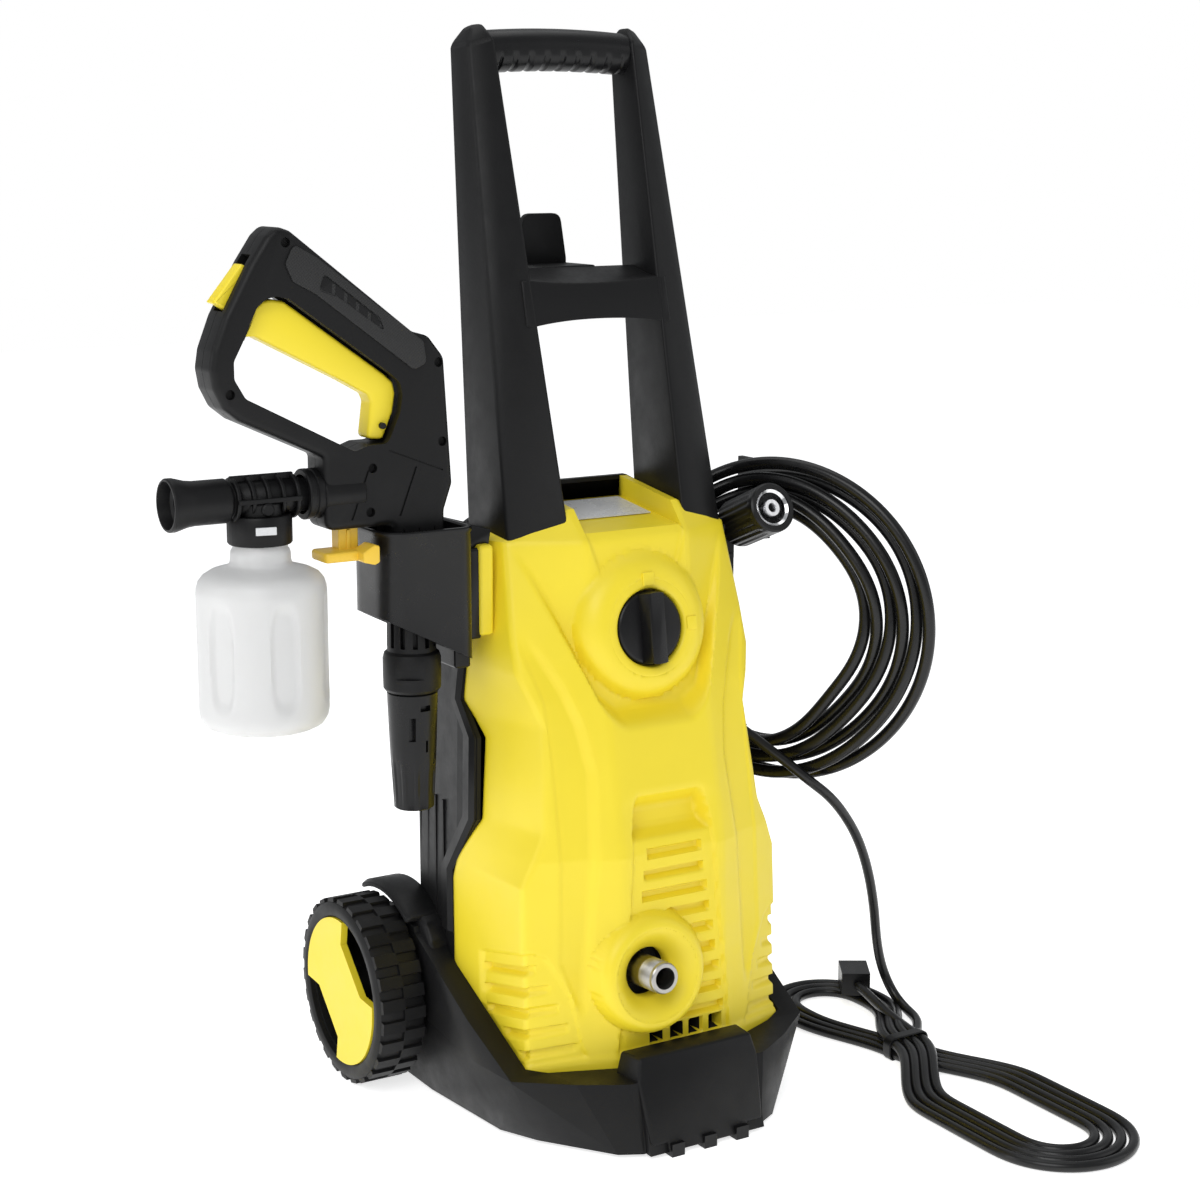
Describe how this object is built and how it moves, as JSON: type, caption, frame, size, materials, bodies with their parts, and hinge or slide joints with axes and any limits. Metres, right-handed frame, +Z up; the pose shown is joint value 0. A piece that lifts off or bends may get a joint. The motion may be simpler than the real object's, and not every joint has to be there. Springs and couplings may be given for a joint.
{
  "type": "pressure washer",
  "caption": "Upright wheeled electric pressure washer with yellow front, black base and handle, spray gun with foam sprayer, coiled high-pressure hose and mains lead",
  "frame": {"origin": "middle of the front foot's rest face, on the machine's plane of symmetry, on the floor", "axes": "+Z up, -Y out of the front with the outlet and the switch, +X to the side that carries the hose"},
  "size_m": [0.5885, 0.4645, 0.74],
  "materials": {
    "black_plastic": "fine matte texture",
    "yellow_plastic": "fine matte texture, satin",
    "soft_black": "matte",
    "hose_rubber": "satin",
    "lead_rubber": "satin",
    "label": "plain, blank",
    "amber_plastic": "satin",
    "steel": "turned",
    "bright_metal": "polished",
    "brass": "turned",
    "cast_alloy": "as cast",
    "dark_metal": "painted",
    "bottle_plastic": "milky translucent plastic",
    "clear_tube": "clear plastic",
    "grey_plastic": "matte"
  },
  "bodies": {
    "chassis": {"base": "black_plastic", "front_foot": "soft_black", "front_cover": "yellow_plastic", "rear_cover": "black_plastic", "handle_frame": "black_plastic", "handle_grip": "soft_black", "cord_hook": "black_plastic", "rating_label": "label", "rotary_switch": "black_plastic", "outlet_nipple": "bright_metal", "pump_head": "brass", "pump_casing": "cast_alloy", "motor_housing": "dark_metal", "motor_bearings": "steel", "capacitor": "grey_plastic", "water_inlet": "brass", "inlet_pipe": "black_plastic", "lead_gland": "lead_rubber", "axle": "steel", "axle_clips": "steel", "gun_holster": "black_plastic", "hose_hanger": "black_plastic", "lead_tube": "lead_rubber", "lead_hank": "lead_rubber", "mains_plug": "lead_rubber"},
    "switch": {"switch_knob": "black_plastic", "switch_shaft": "steel"},
    "rotor": {"rotor_shaft": "steel", "cooling_fan": "black_plastic", "swash_plate": "steel"},
    "piston_a": {"piston_1": "steel", "piston_spring_1": "steel"},
    "piston_b": {"piston_2": "steel", "piston_spring_2": "steel"},
    "piston_c": {"piston_3": "steel", "piston_spring_3": "steel"},
    "wheel_l": {"wheel_left": "black_plastic", "hub_cap_left": "yellow_plastic"},
    "wheel_r": {"wheel_right": "black_plastic", "hub_cap_right": "yellow_plastic"},
    "gun": {"gun_shell_front": "black_plastic", "gun_shell_rear": "black_plastic", "grip_insert": "soft_black", "gun_tube": "brass", "gun_screws": "steel", "pivot_pins": "steel", "nozzle_adaptor": "black_plastic"},
    "gun_trigger": {"trigger": "yellow_plastic"},
    "gun_lock": {"trigger_lock": "yellow_plastic"},
    "gun_clip": {"release_clip": "amber_plastic"},
    "vario": {"vario_nozzle": "black_plastic"},
    "foam_sprayer": {"foam_body": "black_plastic", "foam_cap": "black_plastic", "suction_tube": "clear_tube"},
    "foam_tip": {"foam_nozzle": "black_plastic"},
    "bottle": {"foam_bottle": "bottle_plastic"},
    "hose": {"hose_coil": "hose_rubber", "hose_tail": "hose_rubber", "hose_nut": "black_plastic", "hose_far_nut": "black_plastic"}
  },
  "joints": [
    {"name": "switch_turn", "type": "hinge", "parent": "chassis", "child": "switch", "pos_m": [0, 0.043, 0.343], "axis": [0, 0.9903, -0.1392], "range_deg": [0, 90]},
    {"name": "rotor_spin", "type": "hinge", "parent": "chassis", "child": "rotor", "pos_m": [0, 0.12, 0.2], "axis": [0, 0, 1], "continuous": true},
    {"name": "piston_a_stroke", "type": "slide", "parent": "chassis", "child": "piston_a", "axis": [0, 0, 1], "range_m": [-0.006, 0], "stiffness_N_per_m": 800, "springref_m": 0.004, "deforming": ["piston_spring_1"]},
    {"name": "piston_b_stroke", "type": "slide", "parent": "chassis", "child": "piston_b", "axis": [0, 0, 1], "range_m": [-0.006, 0], "stiffness_N_per_m": 800, "springref_m": 0.004, "deforming": ["piston_spring_2"]},
    {"name": "piston_c_stroke", "type": "slide", "parent": "chassis", "child": "piston_c", "axis": [0, 0, 1], "range_m": [-0.006, 0], "stiffness_N_per_m": 800, "springref_m": 0.004, "deforming": ["piston_spring_3"]},
    {"name": "wheel_l_spin", "type": "hinge", "parent": "chassis", "child": "wheel_l", "pos_m": [-0.143, 0.2015, 0.067], "axis": [1, 0, 0], "continuous": true},
    {"name": "wheel_r_spin", "type": "hinge", "parent": "chassis", "child": "wheel_r", "pos_m": [0.143, 0.2015, 0.067], "axis": [1, 0, 0], "continuous": true},
    {"name": "gun_lift", "type": "slide", "parent": "chassis", "child": "gun", "axis": [0, 0, 1], "range_m": [0, 0.2]},
    {"name": "trigger_pull", "type": "hinge", "parent": "gun", "child": "gun_trigger", "pos_m": [-0.174, 0.1, 0.485], "axis": [0, 1, 0], "range_deg": [0, 6], "stiffness_Nm_per_rad": 0.6, "springref_deg": -11.46},
    {"name": "lock_flip", "type": "hinge", "parent": "gun", "child": "gun_lock", "pos_m": [-0.2645, 0.1, 0.583], "axis": [0, 1, 0], "range_deg": [0, 15]},
    {"name": "clip_press", "type": "slide", "parent": "gun", "child": "gun_clip", "axis": [0, 0, 1], "range_m": [0, 0.004], "stiffness_N_per_m": 600, "springref_m": -0.003},
    {"name": "vario_turn", "type": "hinge", "parent": "gun", "child": "vario", "pos_m": [-0.151, 0.1, 0.27], "axis": [0, 0, 1], "range_deg": [-90, 90]},
    {"name": "foam_pull", "type": "slide", "parent": "gun", "child": "foam_sprayer", "axis": [-1, 0, 0], "range_m": [0, 0.05]},
    {"name": "foam_tip_turn", "type": "hinge", "parent": "foam_sprayer", "child": "foam_tip", "pos_m": [-0.295, 0.1, 0.444], "axis": [1, 0, 0], "range_deg": [-45, 45]},
    {"name": "bottle_unscrew", "type": "slide", "parent": "foam_sprayer", "child": "bottle", "axis": [0, 0, -1], "range_m": [0, 0.06]},
    {"name": "hose_lift", "type": "slide", "parent": "chassis", "child": "hose", "axis": [0, 0, 1], "range_m": [0, 0.06]}
  ]
}
